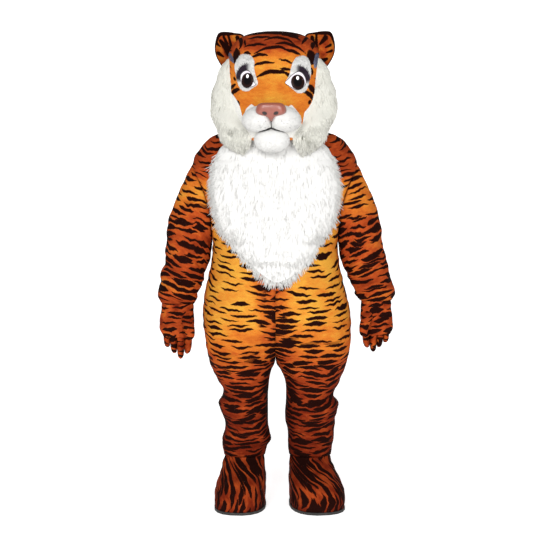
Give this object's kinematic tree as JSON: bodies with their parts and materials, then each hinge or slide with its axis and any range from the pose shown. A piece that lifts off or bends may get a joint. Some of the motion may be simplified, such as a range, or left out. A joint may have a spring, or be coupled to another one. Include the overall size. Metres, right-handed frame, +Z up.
{
  "type": "tiger mascot costume",
  "caption": "Full-body plush animal costume: jumpsuit with white fur bib and back zip, gloves, foot covers and a padded tiger head with cheek ruffs.",
  "frame": {"origin": "midway between the wearer's shoulders, which carry the suit, 1.37 m above the floor", "axes": "+Z up, the wearer faces -Y, and the wearer's left is +X"},
  "size_m": [0.926, 0.5055, 1.852],
  "materials": {
    "tiger_plush": "matte",
    "white_fur": "matte",
    "nose_leather": "satin",
    "eye_white": "satin",
    "eye_black": "gloss",
    "sole_rubber": "matte",
    "zip_tape": "matte",
    "zip_metal": "satin"
  },
  "bodies": {
    "costume": {"cheek_ruff_left": "white_fur", "cheek_ruff_right": "white_fur", "chest_bib": "white_fur", "chin": "white_fur", "ear_left": "tiger_plush", "ear_right": "tiger_plush", "eye_patch_left": "white_fur", "eye_patch_right": "white_fur", "eye_white_left": "eye_white", "eye_white_right": "eye_white", "foot_left_sole": "sole_rubber", "foot_left_upper": "tiger_plush", "foot_right_sole": "sole_rubber", "foot_right_upper": "tiger_plush", "glove_left_hand": "tiger_plush", "glove_left_index": "tiger_plush", "glove_left_little": "tiger_plush", "glove_left_middle": "tiger_plush", "glove_left_ring": "tiger_plush", "glove_left_thumb": "tiger_plush", "glove_right_hand": "tiger_plush", "glove_right_index": "tiger_plush", "glove_right_little": "tiger_plush", "glove_right_middle": "tiger_plush", "glove_right_ring": "tiger_plush", "glove_right_thumb": "tiger_plush", "head_back": "tiger_plush", "head_front": "tiger_plush", "muzzle_left": "white_fur", "muzzle_right": "white_fur", "neck_skirt": "tiger_plush", "nose": "nose_leather", "pupil_left": "eye_black", "pupil_right": "eye_black", "sleeve_left": "tiger_plush", "sleeve_right": "tiger_plush", "suit_back_left": "tiger_plush", "suit_back_right": "tiger_plush", "suit_front_left": "tiger_plush", "suit_front_right": "tiger_plush", "zip_slider": "zip_metal", "zip_strip": "zip_tape"},
    "pull": {"zip_pull": "zip_metal"}
  },
  "joints": [
    {"name": "zip_pull_hinge", "type": "hinge", "parent": "costume", "child": "pull", "pos_m": [0, 0.13774, 0.06879], "axis": [1, 0, 0], "range_deg": [0, 120]}
  ]
}
